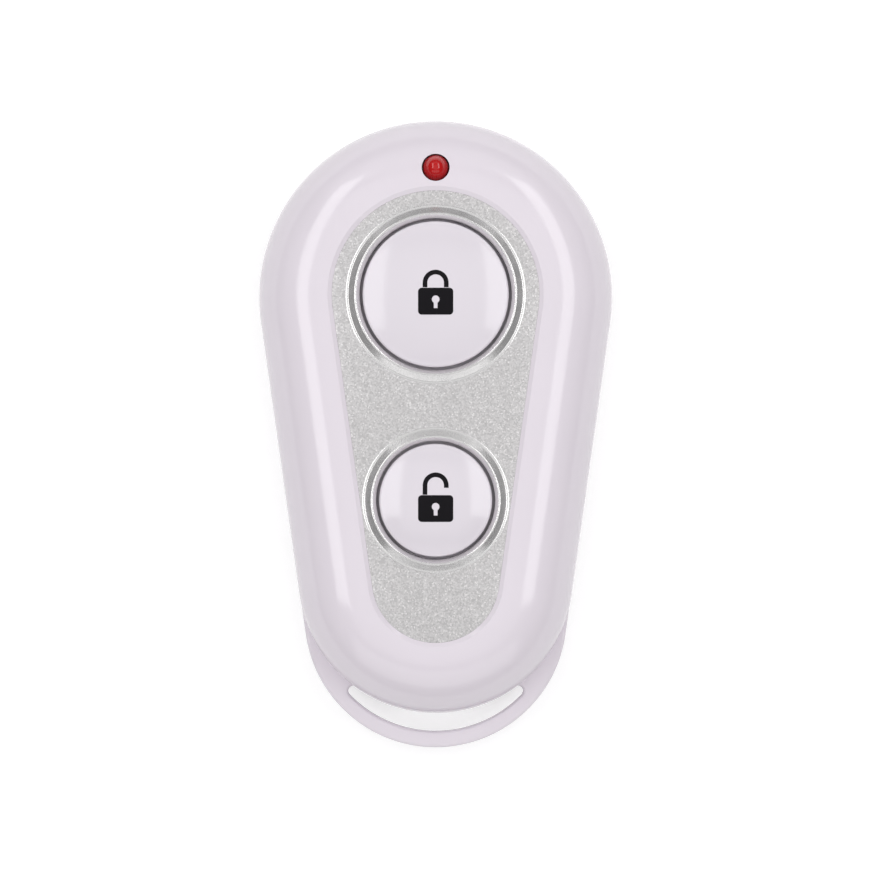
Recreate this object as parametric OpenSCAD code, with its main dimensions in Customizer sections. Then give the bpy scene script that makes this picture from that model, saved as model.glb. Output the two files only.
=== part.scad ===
// Alarm key fob: a two-button radio remote in a white two-part case with a lanyard bail.
// It lies on its back: z = 0 is the rear face, +Y points to the lamp end and +Z out of the front.

/* [Case] */
// Length of the two covers, without the lanyard bail
cover_length = 66; // [64:1:80]
// Width across the rounded head
fob_width = 39.4; // [38:0.2:46]
// Width across the rounded tail of the bail
tail_width = 29.4; // [28:0.2:34]
// How far the lanyard bail stands out past the covers
bail_reach = 4; // [3.4:0.2:8]
// Width of the bail's strap at its middle
bail_strap = 1.8; // [1.4:0.1:2.4]
// Thickness of the bail from front to back
bail_thickness = 2.2; // [1.6:0.1:2.6]
// How far the bail's front lies behind the parting line
bail_drop = 0.4; // [0.2:0.1:1]
// Distance between the two ends of the lanyard slot
slot_length = 19.4; // [16:0.2:20]
// Wall and floor of both covers
case_wall = 1.6; // [1.2:0.1:2]
// Height of the rear cover up to the parting line
rear_height = 5.5; // [5:0.1:6.5]
// Width of the rounded shoulder round the front
shoulder_width = 7.8; // [6.8:0.1:8]
// Width of the sloped rim between the shoulder and the panel
rim_width = 0.6; // [0.3:0.05:0.6]
// Width of the rounding along the rear edge
rear_edge_width = 2.5; // [1:0.1:3]
// Height of the rounding along the rear edge
rear_edge_height = 2.8; // [1:0.1:3.2]
// Thickness of the front cover under the panel
deck_thickness = 1.2; // [0.8:0.1:2]
// Height of the tongue that lines up the two covers
tongue_height = 1; // [0.6:0.1:1.4]
// Width of the tongue
tongue_width = 0.75; // [0.5:0.05:0.8]

/* [Panel] */
// Thickness of the silver panel
panel_thickness = 0.8; // [0.6:0.1:1.2]
// How far the panel lies below the front cover's top
panel_sink = 0.3; // [0:0.05:0.4]
// Height of the ring round each button above the panel
ring_height = 0.45; // [0.3:0.05:0.8]
// Depth of the groove outside each ring
groove_depth = 0.1; // [0.05:0.05:0.4]

/* [Buttons] */
// Diameter of the large button
arm_button_d = 15.9; // [14:0.1:16.6]
// Rise of the large button's dome
arm_crown = 1.5; // [0.8:0.1:2.2]
// Diameter of the small button
clear_button_d = 12.3; // [11.4:0.1:12.4]
// Rise of the small button's dome
clear_crown = 1.35; // [0.8:0.05:2]
// Distance between the centres of the two buttons
button_pitch = 22.4; // [21:0.2:23]
// How far a button travels
button_travel = 0.3; // [0.15:0.05:0.4]
// Wall of a button's cap
cap_wall = 1; // [0.8:0.05:1.2]
// Width of the flange that keeps a button in the case
flange_width = 1.2; // [0.8:0.1:1.3]
// Thickness of that flange
flange_thickness = 0.9; // [0.6:0.1:1.2]

/* [Lamp] */
// Diameter of the lamp's body
led_d = 3; // [2:0.1:3.4]
// Height of the lamp's body
led_height = 5.5; // [4.8:0.1:5.8]
// Distance of the lamp's centre from the head's edge
led_inset = 5.9; // [5:0.1:6]

/* [Board] */
// Thickness of the circuit board
board_thickness = 1; // [0.8:0.1:1.6]
// Gap between the board's edge and the case
board_gap = 0.8; // [0.4:0.1:1]
// Side of a switch's square base
switch_width = 6; // [5:0.1:6.4]
// Height of a switch up to its plunger's tip
switch_height = 4.3; // [4:0.1:5.5]
// Diameter of a switch's plunger
plunger_d = 3.5; // [2.6:0.1:3.6]

/* [Battery] */
// Diameter of the coin cell
cell_d = 20; // [16:0.5:22]
// Height of the coin cell
cell_height = 3.2; // [2.5:0.1:4]
// Width of the spring strap that holds the cell
clip_width = 8; // [5:0.5:10]
// Thickness of that strap
clip_thickness = 0.3; // [0.2:0.05:0.5]

/* [Screw] */
// Outer diameter of the screw's thread
screw_d = 2; // [1.8:0.1:2.4]
// Length of the screw under its head
screw_length = 6; // [5:0.25:6.5]
// Diameter of the screw's head
screw_head_d = 3.8; // [3.2:0.1:4.2]
// Height of the screw's head
screw_head_height = 1.5; // [1:0.1:1.6]
// Distance of the screw from the covers' tail end
screw_inset = 6; // [5.6:0.1:7]

/* [Clearances] */
// Gap between a button and the hole it moves in
button_gap = 0.33; // [0.2:0.01:0.5]
// Gap between pieces that move past each other
slide_gap = 0.15; // [0.1:0.01:0.2]
// Gap between pieces that drop into each other
drop_gap = 0.1; // [0.05:0.01:0.2]
// Gap between the cell's strap and the rear cover
strap_gap = 0.3; // [0.2:0.05:0.6]

/* [Hidden] */
$fn = 64;

// Overshoot of a cut past the face that it opens
cut = 1;
// How deep one shape is sunk into another that it is moulded with
weld = 0.4;

// Outline: a large head circle and a smaller tail circle, joined by tangent sides
half_length = (cover_length + bail_reach) / 2;
head_r = fob_width / 2;
head_y = half_length - head_r;
bail_r = tail_width / 2;
bail_y = bail_r - half_length;
taper = (head_r - bail_r) / (head_y - bail_y);
taper_angle = asin(taper);
cover_end = half_length - cover_length;
cover_y = (cover_end + head_r - head_y * taper) / (1 - taper);
cover_r = head_r - (head_y - cover_y) * taper;
head_steps = 30;
tail_steps = 20;

// Heights, from the rear face up through the battery, the board and the switches to the front
clip_z = case_wall + strap_gap;
cell_z = clip_z + clip_thickness;
contact_thickness = 0.2;
board_z = cell_z + cell_height + contact_thickness;
board_top = board_z + board_thickness;
plunger_top = board_top + switch_height;
deck_drop = 0.5;
deck_under = plunger_top - deck_drop;
recess_z = deck_under + deck_thickness;
panel_top = recess_z + panel_thickness;
cover_top = panel_top + panel_sink;
shoulder_height = cover_top - rear_height;
cavity_height = deck_under - rear_height;
recess_inset = shoulder_width + rim_width;
rim_land = 0.15;
panel_gap = drop_gap / 2;
dome_steps = 9;
cavity_steps = 6;
rear_steps = 5;

// Bail and lanyard slot
bail_z = rear_height - bail_drop - bail_thickness;
bail_skin = 0.5;
bail_root = case_wall - bail_skin;
bail_lead = 0.7;
bail_start = cover_y - cover_r * taper - bail_lead;
slot_rise = 0.45;
slot_y = bail_y + slot_rise;
slot_r = bail_r - bail_strap + slot_rise;

// Tongue of the rear cover and the rebate of the front cover that takes it
tongue_inset = case_wall - tongue_width;
rebate_inset = tongue_inset - drop_gap;
rebate_reach = 0.6;

// Screw and the two posts that it draws together
screw_y = cover_end + screw_inset;
screw_sink = 1;
screw_seat = screw_sink + screw_head_height;
screw_hole_d = screw_d + 2 * drop_gap;
thread_bite = 0.3;
pilot_d = screw_d - thread_bite;
pilot_spare = 0.5;
pilot_end = screw_seat + screw_length + pilot_spare;
head_room = 0.4;
counterbore_d = screw_head_d + head_room;
post_wall = 0.9;
screw_post_r = counterbore_d / 2 + post_wall;
boss_wall = 1.4;
screw_boss_r = screw_d / 2 + boss_wall;
cross_length = screw_head_d * 0.6;
cross_width = 0.6;
cross_depth = 0.8;

// Posts and pegs that hold the board
post_r = 1.2;
pin_r = 0.6;
pin_rise = 0.4;
post_inset = 4.8;
head_post_angle = 35;
clear_y = head_y - button_pitch;
tail_post_offset = 4;
tail_post_y = clear_y - tail_post_offset;
head_post = [head_r - post_inset, head_post_angle];
tail_post_x = half_width(tail_post_y, post_inset);
board_inset = case_wall + board_gap;
board_end = screw_y + screw_post_r + board_gap;

// Buttons
cap_stand = 0.2;
cap_edge = panel_top + cap_stand;
cap_roof = 0.6;
cap_ceiling = cap_edge - cap_roof;
flange_top = deck_under - slide_gap;
flange_z = flange_top - flange_thickness;
flat_depth = flange_width * 0.6;
stem_r = 1.5;
stem_gap = 0.1;
arm_hole_r = arm_button_d / 2 + button_gap;
clear_hole_r = clear_button_d / 2 + button_gap;
key_width = 1;
key_length = 6;

// Ring round each button: distances out from the hole's edge
ring_crest = 0.46;
ring_half = 0.13;
ring_foot = 1.12;
groove_end = 1.16;
bead_mid = 1.38;
bead_half = 0.1;
bead_height = 0.12;
ring_width = 1.56;

// Lamp
led_proud = 1;
led_slope = (shoulder_width - led_inset) / shoulder_width;
led_y = half_length - led_inset;
led_top = rear_height + shoulder_height * sqrt(1 - led_slope * led_slope) + led_proud;
led_z = led_top - led_height;
led_flange_width = 0.4;
led_flange_d = led_d + 2 * led_flange_width;
led_flange_height = 1;
lead_pitch = 2.54;
lead_d = 0.5;
lead_end = 0.8;

// Switches: heights above the board
switch_cover_t = 0.4;
tip_stand = 0.8;
switch_base_h = switch_height - tip_stand - switch_cover_t;
well_floor = 1.1;
shoe_width = 0.3;
shoe_r = plunger_d / 2 + shoe_width;
well_r = shoe_r + slide_gap;
shoe_h = 0.5;
dome_r = well_r - drop_gap;
dome_spare = 0.25;
dome_rise = button_travel + dome_spare;
dome_t = 0.1;
nub_r = 0.8;
terminal_w = 0.7;
terminal_t = 0.25;
terminal_reach = 1.5;
terminal_rise = 0.9;
terminal_pitch = 4.5;

// Coin cell and its contacts
cell_offset = 4;
cell_y = head_y - cell_offset;
can_t = 0.25;
cell_gap = 0.04;
crimp_width = 0.5;
gasket_t = 0.45;
cap_t = 0.25;
cap_step = 0.35;
gasket_r = cell_d / 2 - can_t - cell_gap;
cap_r = gasket_r - gasket_t;
core_r = cap_r - cap_t - cell_gap;
crimp_z = cell_z + cell_height - cap_step;
clip_foot = 2;
clip_leg_x = cell_d / 2 + strap_gap;
contact_r = 4;

// Surface parts: chip between the switches, radio beside the board's tail
chip_size = [4.9, 3.9, 1.5];
chip_stand = 0.15;
chip_y = (head_y + clear_y) / 2;
chip_pitch = 1.27;
chip_leg_w = 0.4;
chip_leg_t = 0.2;
chip_leg_reach = 1;
chip_legs_a_side = 4;
part_gap = 1.2;
saw_size = [5, 3.8, 1.4];
saw_x = -5;
transistor_size = [2.9, 1.3, 1];
transistor_x = 4.5;
transistor_pitch = 0.95;
transistor_leg_reach = 0.55;
chip_part = [1.6, 0.8, 0.45];
chip_part_step = 2.2;
resistor_x = 7.5;
lamp_resistor = [4.6, -3];
capacitor_x = 9;
saw_capacitor_x = -9.6;
middle_capacitor_rise = 1.6;
antenna_gap = 0.5;
antenna_width = 0.8;
antenna_t = 0.1;
antenna_start = 4;
antenna_top = chip_y - antenna_start;
radio_y = board_end + antenna_gap + antenna_width + part_gap + saw_size.y / 2;
rows = [-1, 1];
resistor_at = concat(
    [for (side = [-1, 1], row = rows) [side * resistor_x, chip_y + row * chip_part_step / 2]],
    [[lamp_resistor.x, led_y + lamp_resistor.y]]
);
capacitor_at = concat(
    [for (row = rows) [capacitor_x, radio_y + row * chip_part_step / 2]],
    [[0, radio_y + middle_capacitor_rise], [saw_capacitor_x, radio_y]]
);

// Half of the case's width at a place along it, less an inset
function half_width(y, inset) = (head_r - (head_y - y) * taper - inset) / cos(taper_angle);

// Angles of an arc in equal steps
function arc(from, to, steps) = [for (i = [0 : steps]) from + (to - from) * i / steps];

// Points on an arc round a centre on the Y axis
function arc_points(y, r, angles) = [for (a = angles) [r * cos(a), y + r * sin(a)]];

// Rounded outline of the head and a tail circle, moved in by an inset
function outline(end_y, end_r, inset) = concat(
    arc_points(head_y, head_r - inset, arc(-taper_angle, 180 + taper_angle, head_steps)),
    arc_points(end_y, end_r - inset, arc(180 + taper_angle, 360 - taper_angle, tail_steps))
);

function cover_outline(inset) = outline(cover_y, cover_r, inset);

// Solid through the covers' outline at a list of [inset, height] levels
module loft(levels) {
    rings = [for (level = levels) [for (p = cover_outline(level[0])) [p.x, p.y, level[1]]]];
    n = len(rings[0]);
    last = len(levels) - 1;
    sides = [
        for (k = [0 : last - 1])
            for (i = [0 : n - 1])
                let (j = (i + 1) % n)
                    [k * n + i, (k + 1) * n + i, (k + 1) * n + j, k * n + j]
    ];
    bottom = [for (i = [0 : n - 1]) i];
    top = [for (i = [n - 1 : -1 : 0]) last * n + i];
    polyhedron(points = [for (ring = rings) each ring], faces = concat([bottom], sides, [top]));
}

// Straight-sided solid on the covers' outline
module slab(inset, from, to) {
    translate([0, 0, from]) linear_extrude(to - from) polygon(cover_outline(inset));
}

// Tube or disc along Z
module rod(r, from, to) {
    translate([0, 0, from]) cylinder(r = r, h = to - from);
}

module box(size, from) {
    translate([-size.x / 2, -size.y / 2, from]) cube(size);
}

module at_head_posts() {
    for (angle = [head_post[1], 180 - head_post[1]])
        translate([head_post[0] * cos(angle), head_y + head_post[0] * sin(angle), 0]) children();
}

module at_tail_posts() {
    for (side = [-1, 1]) translate([side * tail_post_x, tail_post_y, 0]) children();
}

// Two button places: child 0 at the large one, child 1 at the small one
module at_buttons() {
    translate([0, head_y, 0]) children(0);
    translate([0, clear_y, 0]) children(1);
}

// Case

module bail() {
    translate([0, 0, bail_z]) linear_extrude(bail_thickness) difference() {
        polygon(outline(bail_y, bail_r, 0));
        polygon(cover_outline(bail_root));
        translate([-fob_width, bail_start]) square([2 * fob_width, 2 * half_length]);
        intersection() {
            difference() {
                translate([0, slot_y]) circle(r = slot_r);
                polygon(cover_outline(0));
            }
            translate([-slot_length / 2, -2 * half_length]) square([slot_length, 2 * half_length]);
        }
    }
}

module rear_cover() {
    edge = [
        for (i = [0 : rear_steps])
            let (a = 90 * i / rear_steps)
                [rear_edge_width * (1 - sin(a)), rear_edge_height * (1 - cos(a))]
    ];
    color("ghostwhite") difference() {
        union() {
            difference() {
                union() {
                    loft(concat(edge, [[0, rear_height]]));
                    slab(tongue_inset, rear_height - weld, rear_height + tongue_height);
                }
                slab(case_wall, case_wall, rear_height + tongue_height + cut);
            }
            bail();
            translate([0, screw_y, 0]) rod(screw_post_r, case_wall - weld, rear_height);
            at_head_posts() rod(post_r, case_wall - weld, board_z);
            at_tail_posts() {
                rod(post_r, case_wall - weld, board_z);
                rod(pin_r, board_z - weld, board_top + pin_rise);
            }
        }
        translate([0, screw_y, 0]) {
            rod(counterbore_d / 2, -cut, screw_seat);
            rod(screw_hole_d / 2, -cut, rear_height + cut);
        }
    }
}

// Ribs beside a button's flats, which keep it from turning
module key_ribs(button_d) {
    flat_x = button_d / 2 + flange_width - flat_depth + slide_gap;
    for (side = [-1, 1])
        translate([side * (flat_x + key_width / 2), 0, 0])
            box([key_width, key_length, recess_z - flange_z], flange_z);
}

module front_cover() {
    dome = [
        for (i = [0 : dome_steps])
            let (a = 90 * i / dome_steps)
                [shoulder_width * (1 - cos(a)), rear_height + shoulder_height * sin(a)]
    ];
    cavity = [
        for (i = [0 : cavity_steps])
            let (a = 90 * i / cavity_steps)
                [case_wall + (recess_inset - case_wall) * (1 - cos(a)), rear_height + cavity_height * sin(a)]
    ];
    color("white") difference() {
        loft(dome);
        difference() {
            loft(concat([[case_wall, rear_height - cut]], cavity));
            translate([0, screw_y, 0]) rod(screw_boss_r, rear_height, cover_top);
            at_head_posts() rod(post_r, board_top + drop_gap, cover_top);
            at_buttons() {
                key_ribs(arm_button_d);
                key_ribs(clear_button_d);
            }
        }
        difference() {
            slab(rebate_inset, rear_height - cut, rear_height + tongue_height + drop_gap);
            slab(case_wall + rebate_reach, rear_height - 2 * cut, rear_height + tongue_height + cut);
        }
        slab(recess_inset, recess_z, cover_top + cut);
        at_buttons() {
            rod(arm_hole_r + ring_width + panel_gap, recess_z, cover_top + cut);
            rod(clear_hole_r + ring_width + panel_gap, recess_z, cover_top + cut);
        }
        loft([
            [recess_inset, panel_top],
            [shoulder_width + rim_land, cover_top],
            [shoulder_width + rim_land, cover_top + cut]
        ]);
        at_buttons() {
            rod(arm_hole_r, rear_height, cover_top + cut);
            rod(clear_hole_r, rear_height, cover_top + cut);
        }
        translate([0, led_y, 0]) rod(led_d / 2 + drop_gap, rear_height, cover_top + cut);
        translate([0, screw_y, 0]) rod(pilot_d / 2, rear_height - cut, pilot_end);
    }
}

module case_screw() {
    color("silver") translate([0, screw_y, 0]) difference() {
        union() {
            rod(screw_head_d / 2, screw_sink, screw_seat);
            rod(screw_d / 2, screw_seat - weld, screw_seat + screw_length - screw_d / 2);
            translate([0, 0, screw_seat + screw_length - screw_d / 2])
                cylinder(r1 = screw_d / 2, r2 = screw_d / 8, h = screw_d / 2);
        }
        for (turn = [0, 90])
            rotate(turn) box([cross_length, cross_width, cut + cross_depth], screw_sink - cut);
    }
}

// Moulded ring, groove and bead round a button's hole
module button_ring(hole_r) {
    rotate_extrude() polygon([
        [hole_r, recess_z],
        [hole_r, panel_top],
        [hole_r + ring_crest - ring_half, panel_top + ring_height * 0.9],
        [hole_r + ring_crest, panel_top + ring_height],
        [hole_r + ring_crest + ring_half, panel_top + ring_height * 0.8],
        [hole_r + ring_foot, panel_top - groove_depth],
        [hole_r + groove_end, panel_top - groove_depth],
        [hole_r + bead_mid - bead_half, panel_top + bead_height],
        [hole_r + bead_mid + bead_half, panel_top + bead_height],
        [hole_r + ring_width, panel_top - groove_depth / 2],
        [hole_r + ring_width, recess_z]
    ]);
}

module silver_panel() {
    color("lightgray") {
        difference() {
            slab(recess_inset + panel_gap, recess_z, panel_top);
            at_buttons() {
                rod(arm_hole_r + bead_mid, recess_z - cut, panel_top + cut);
                rod(clear_hole_r + bead_mid, recess_z - cut, panel_top + cut);
            }
        }
        at_buttons() {
            button_ring(arm_hole_r);
            button_ring(clear_hole_r);
        }
    }
}

// Domed cap with a flange under the deck and a stem over the switch
module button(d, crown) {
    r = d / 2;
    sphere_r = (r * r + crown * crown) / (2 * crown);
    flat_x = r + flange_width - flat_depth;
    difference() {
        union() {
            intersection() {
                rod(r, flange_z, cap_edge + crown + cut);
                translate([0, 0, cap_edge + crown - sphere_r]) sphere(r = sphere_r);
            }
            intersection() {
                rod(r + flange_width, flange_z, flange_top);
                box([2 * flat_x, 4 * r, flange_thickness + 2 * cut], flange_z - cut);
            }
        }
        rod(r - cap_wall, flange_z - cut, cap_ceiling);
    }
    rod(stem_r, plunger_top + stem_gap, cap_ceiling + weld);
}

module arm_button() {
    color("ghostwhite") translate([0, head_y, 0]) button(arm_button_d, arm_crown);
}

module clear_button() {
    color("ghostwhite") translate([0, clear_y, 0]) button(clear_button_d, clear_crown);
}

// Board and aerial

module board_shape(inset) {
    intersection() {
        polygon(cover_outline(inset));
        translate([-fob_width, board_end + inset - board_inset]) square([2 * fob_width, 2 * half_length]);
    }
}

module circuit_board() {
    color("darkgreen") difference() {
        translate([0, 0, board_z]) linear_extrude(board_thickness) board_shape(board_inset);
        at_tail_posts() rod(pin_r + drop_gap, board_z - cut, board_top + cut);
        at_leads() rod(lead_d / 2 + drop_gap, board_z - cut, board_top + cut);
    }
}

module antenna_loop() {
    color("darkgoldenrod") translate([0, 0, board_top]) linear_extrude(antenna_t) difference() {
        board_shape(board_inset + antenna_gap);
        board_shape(board_inset + antenna_gap + antenna_width);
        translate([-fob_width, antenna_top]) square([2 * fob_width, 2 * half_length]);
    }
}

// Lamp

module at_leads() {
    for (side = [-1, 1]) translate([side * lead_pitch / 2, led_y, 0]) children();
}

module led_lens() {
    color("red") translate([0, led_y, 0]) {
        rod(led_flange_d / 2, led_z, led_z + led_flange_height);
        rod(led_d / 2, led_z + led_flange_height - weld, led_top - led_d / 2);
        intersection() {
            translate([0, 0, led_top - led_d / 2]) sphere(d = led_d);
            rod(led_d, led_top - led_d / 2, led_top + cut);
        }
    }
}

module led_leads() {
    color("silver") at_leads() rod(lead_d / 2, board_z - lead_end, led_z);
}

// Switches

module switch_base() {
    difference() {
        box([switch_width, switch_width, switch_base_h], board_top);
        rod(well_r, board_top + well_floor, board_top + switch_base_h + cut);
    }
}

module switch_dome() {
    floor_z = board_top + well_floor;
    sphere_r = (dome_r * dome_r + dome_rise * dome_rise) / (2 * dome_rise);
    intersection() {
        translate([0, 0, floor_z + dome_rise - sphere_r]) difference() {
            sphere(r = sphere_r);
            sphere(r = sphere_r - dome_t);
        }
        rod(dome_r + cut, floor_z, floor_z + dome_rise + cut);
    }
}

module switch_plunger() {
    shoe_top = board_top + switch_base_h - slide_gap;
    rod(nub_r, board_top + well_floor + dome_rise + slide_gap, shoe_top);
    rod(shoe_r, shoe_top - shoe_h, shoe_top);
    rod(plunger_d / 2, shoe_top - shoe_h, plunger_top);
}

module switch_cover() {
    difference() {
        box([switch_width, switch_width, switch_cover_t], board_top + switch_base_h);
        rod(plunger_d / 2 + slide_gap, board_top + switch_base_h - cut, plunger_top);
    }
}

module switch_terminals() {
    for (turn = [0, 180], side = [-1, 1])
        rotate(turn) translate([switch_width / 2, side * terminal_pitch / 2 - terminal_w / 2, board_top]) {
            cube([terminal_reach, terminal_w, terminal_t]);
            cube([terminal_t, terminal_w, terminal_rise]);
        }
}

module arm_switch_base() {
    color("dimgray") translate([0, head_y, 0]) switch_base();
}

module arm_switch_dome() {
    color("silver") translate([0, head_y, 0]) switch_dome();
}

module arm_switch_plunger() {
    color("black") translate([0, head_y, 0]) switch_plunger();
}

module arm_switch_cover() {
    color("silver") translate([0, head_y, 0]) switch_cover();
}

module arm_switch_terminals() {
    color("silver") translate([0, head_y, 0]) switch_terminals();
}

module clear_switch_base() {
    color("dimgray") translate([0, clear_y, 0]) switch_base();
}

module clear_switch_dome() {
    color("silver") translate([0, clear_y, 0]) switch_dome();
}

module clear_switch_plunger() {
    color("black") translate([0, clear_y, 0]) switch_plunger();
}

module clear_switch_cover() {
    color("silver") translate([0, clear_y, 0]) switch_cover();
}

module clear_switch_terminals() {
    color("silver") translate([0, clear_y, 0]) switch_terminals();
}

// Coin cell, with its positive can towards the rear

module battery_can() {
    color("silver") translate([0, cell_y, 0]) rotate_extrude() polygon([
        [0, cell_z],
        [cell_d / 2, cell_z],
        [cell_d / 2, crimp_z],
        [cell_d / 2 - crimp_width, crimp_z],
        [cell_d / 2 - crimp_width, crimp_z - can_t],
        [cell_d / 2 - can_t, crimp_z - can_t],
        [cell_d / 2 - can_t, cell_z + can_t],
        [0, cell_z + can_t]
    ]);
}

// Sealing ring of L section, with the cap's rim standing on its foot
module battery_gasket() {
    foot_z = cell_z + can_t;
    color("white") translate([0, cell_y, 0]) rotate_extrude() polygon([
        [core_r + cell_gap, foot_z],
        [gasket_r, foot_z],
        [gasket_r, crimp_z - can_t],
        [cap_r + cell_gap, crimp_z - can_t],
        [cap_r + cell_gap, foot_z + gasket_t],
        [core_r + cell_gap, foot_z + gasket_t]
    ]);
}

module battery_core() {
    color("dimgray") translate([0, cell_y, 0])
        rod(core_r, cell_z + can_t, cell_z + cell_height - cap_t);
}

module battery_cap() {
    color("lightgray") translate([0, cell_y, 0]) difference() {
        rod(cap_r, cell_z + can_t + gasket_t, cell_z + cell_height);
        rod(cap_r - cap_t, cell_z, cell_z + cell_height - cap_t);
    }
}

module battery_clip() {
    leg_x = clip_leg_x;
    half = [
        [0, clip_z],
        [leg_x + clip_thickness, clip_z],
        [leg_x + clip_thickness, board_z - clip_thickness],
        [leg_x + clip_foot, board_z - clip_thickness],
        [leg_x + clip_foot, board_z],
        [leg_x, board_z],
        [leg_x, cell_z],
        [0, cell_z]
    ];
    mirrored = [for (i = [len(half) - 1 : -1 : 0]) [-half[i].x, half[i].y]];
    ends = concat(
        [for (p = half) if (p.x > 0) p],
        [for (p = mirrored) if (p.x < 0) p]
    );
    color("silver") translate([0, cell_y + clip_width / 2, 0])
        rotate([90, 0, 0]) linear_extrude(clip_width) polygon(ends);
}

module battery_contact() {
    color("gold") translate([0, cell_y, 0]) rod(contact_r, board_z - contact_thickness, board_z);
}

// Surface parts

module encoder_chip() {
    color("black") translate([0, chip_y, 0]) box(chip_size, board_top + chip_stand);
}

module encoder_leads() {
    leg_top = chip_stand + chip_size.z / 2;
    first_x = -(chip_legs_a_side - 1) * chip_pitch / 2 - chip_leg_w / 2;
    color("silver") for (turn = [0, 180], i = [0 : chip_legs_a_side - 1])
        translate([0, chip_y, 0]) rotate(turn)
            translate([first_x + i * chip_pitch, chip_size.y / 2, board_top]) {
                cube([chip_leg_w, chip_leg_reach, chip_leg_t]);
                cube([chip_leg_w, chip_leg_t, leg_top]);
            }
}

module saw_resonator() {
    color("silver") translate([saw_x, radio_y, 0]) box(saw_size, board_top);
}

module rf_transistor() {
    color("black") translate([transistor_x, radio_y, 0]) box(transistor_size, board_top);
}

module transistor_leads() {
    legs = [[-transistor_pitch, 0], [transistor_pitch, 0], [0, 180]];
    color("silver") for (leg = legs)
        translate([transistor_x, radio_y, 0]) rotate(leg[1])
            translate([leg[0] - chip_leg_w / 2, transistor_size.y / 2, board_top])
                cube([chip_leg_w, transistor_leg_reach, chip_leg_t]);
}

module chip_resistors() {
    color("black") for (p = resistor_at) translate(p) box(chip_part, board_top);
}

module chip_capacitors() {
    color("tan") for (p = capacitor_at) translate(p) box(chip_part, board_top);
}

rear_cover();
front_cover();
case_screw();
silver_panel();
arm_button();
clear_button();
circuit_board();
antenna_loop();
led_lens();
led_leads();
arm_switch_base();
arm_switch_dome();
arm_switch_plunger();
arm_switch_cover();
arm_switch_terminals();
clear_switch_base();
clear_switch_dome();
clear_switch_plunger();
clear_switch_cover();
clear_switch_terminals();
battery_can();
battery_core();
battery_gasket();
battery_cap();
battery_clip();
battery_contact();
encoder_chip();
encoder_leads();
saw_resonator();
rf_transistor();
transistor_leads();
chip_resistors();
chip_capacitors();
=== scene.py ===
# Alarm key fob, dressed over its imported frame: a glossy white case in two halves, a silver panel with
# two domed buttons, a red lamp and a lanyard bail. Lengths are in millimetres, and mm makes them metres.

import math

import bmesh
import bpy
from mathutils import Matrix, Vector


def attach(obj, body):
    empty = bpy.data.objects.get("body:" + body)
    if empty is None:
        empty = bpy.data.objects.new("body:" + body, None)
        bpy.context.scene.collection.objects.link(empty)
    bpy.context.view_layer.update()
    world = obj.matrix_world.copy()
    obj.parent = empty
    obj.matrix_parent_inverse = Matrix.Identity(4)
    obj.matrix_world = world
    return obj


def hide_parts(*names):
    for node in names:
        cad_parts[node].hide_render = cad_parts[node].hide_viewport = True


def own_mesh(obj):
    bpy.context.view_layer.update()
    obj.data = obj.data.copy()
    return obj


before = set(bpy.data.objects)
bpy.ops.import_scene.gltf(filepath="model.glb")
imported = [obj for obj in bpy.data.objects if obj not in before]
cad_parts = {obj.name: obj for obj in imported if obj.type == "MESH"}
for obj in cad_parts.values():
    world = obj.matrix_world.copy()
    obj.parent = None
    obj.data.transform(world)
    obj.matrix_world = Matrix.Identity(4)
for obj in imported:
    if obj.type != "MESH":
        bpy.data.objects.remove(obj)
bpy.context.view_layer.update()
mm = 0.001


# Rear cover: the tray that the fob lies on, injection moulded in polished white plastic.
# The lanyard bail is moulded on its tail, a tongue lines up the front cover, and posts on its floor
# carry the board and take the screw.

head_r = 19.69
head_y = 15.3
bail_r = 14.7
bail_y = -20.3
cover_end = -31.0
taper = (head_r - bail_r) / (head_y - bail_y)
taper_angle = math.asin(taper)
cover_y = (cover_end + head_r - head_y * taper) / (1 - taper)
cover_r = head_r - (head_y - cover_y) * taper
wall = 1.6
parting = 5.5
tongue_inset = 0.85
tongue_top = 6.5
rear_edge_width = 2.5
rear_edge_height = 2.8
seam_round = 0.15
screw_y = -25.0
screw_seat = 2.5
counterbore_r = 2.1
screw_hole_r = 1.1
screw_post_r = 3.0
post_r = 1.2
pin_r = 0.6
board_under = 5.6
pin_top = 7.0
head_post_reach = 14.9
head_post_angle = math.radians(35)
tail_post_y = -11.1
post_inset = 4.8
bail_low = 2.9
bail_high = 5.1
bail_round = 0.35
bail_foot_width = 0.7
bail_foot_height = 1.4
bail_start = -18.5
bail_weld = 0.8
slot_y = -19.85
slot_r = 13.35
slot_end_r = 0.6
head_steps = 110
tail_steps = 80
round_steps = 48
post_steps = 16
same_place = 5e-7
tone_scale = 140
gloss_scale = 420


def feed(tree, socket, value):
    """Sets an input to a plain value, or links another node's output to it."""
    if isinstance(value, bpy.types.NodeSocket):
        tree.links.new(value, socket)
    else:
        socket.default_value = value


def put(tree, kind, inputs=None, **settings):
    """Adds a node with its settings, then feeds its inputs by name or number."""
    node = tree.nodes.new(kind)
    for key, value in settings.items():
        setattr(node, key, value)
    for key, value in (inputs or {}).items():
        feed(tree, node.inputs[key], value)
    return node


def maths(tree, operation, first, second=0.0):
    """Adds a math node and gives its result."""
    return put(tree, "ShaderNodeMath", {0: first, 1: second}, operation=operation).outputs[0]


def open_sockets(tree, inputs, outputs):
    """Names a tree's inputs and outputs, each as (name, kind), and gives its input sockets."""
    for side, sockets in (("INPUT", inputs), ("OUTPUT", outputs)):
        for name, kind in sockets:
            tree.interface.new_socket(name, in_out=side, socket_type="NodeSocket" + kind)
    return tree.nodes.new("NodeGroupInput").outputs


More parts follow.
